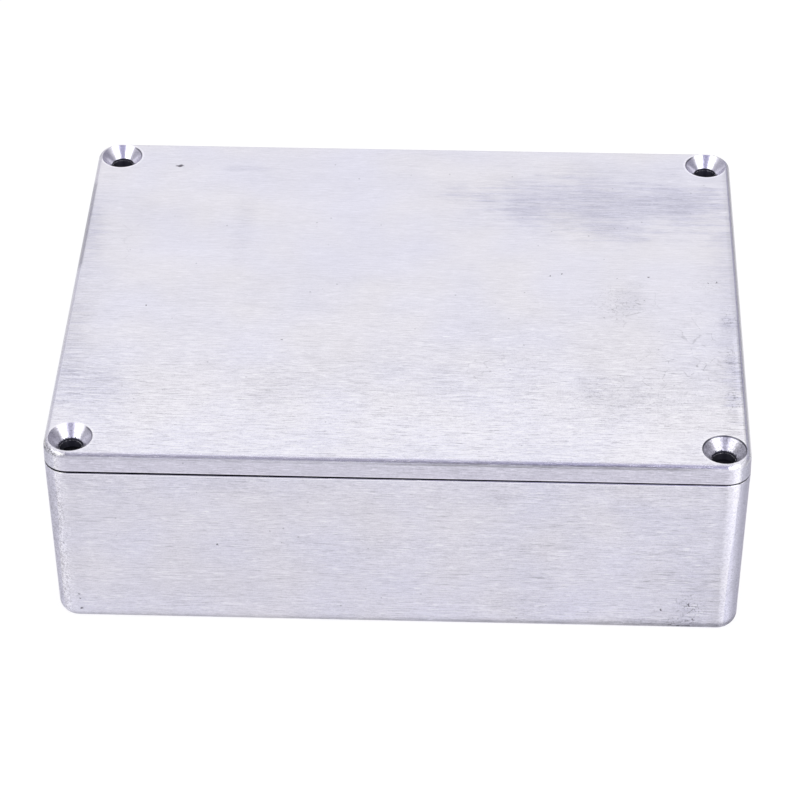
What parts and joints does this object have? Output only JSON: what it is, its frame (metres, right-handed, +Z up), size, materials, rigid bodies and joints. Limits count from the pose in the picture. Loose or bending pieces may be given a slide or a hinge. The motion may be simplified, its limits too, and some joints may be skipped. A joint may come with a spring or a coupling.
{
  "type": "guitar pedal enclosure",
  "caption": "Die-cast aluminium box with drafted walls and a countersunk screw-down lid, for a guitar effect pedal or small circuit.",
  "frame": {"origin": "middle of the underside, on the surface that the case stands on", "axes": "+X along the long side, +Y across it towards the back, +Z up through the lid"},
  "size_m": [0.1194, 0.094, 0.038],
  "materials": {
    "box_metal": "bare casting, linished along its length",
    "lid_metal": "bare casting, linished along its length"
  },
  "bodies": {
    "root": {"box": "box_metal", "lid": "lid_metal"}
  },
  "joints": []
}
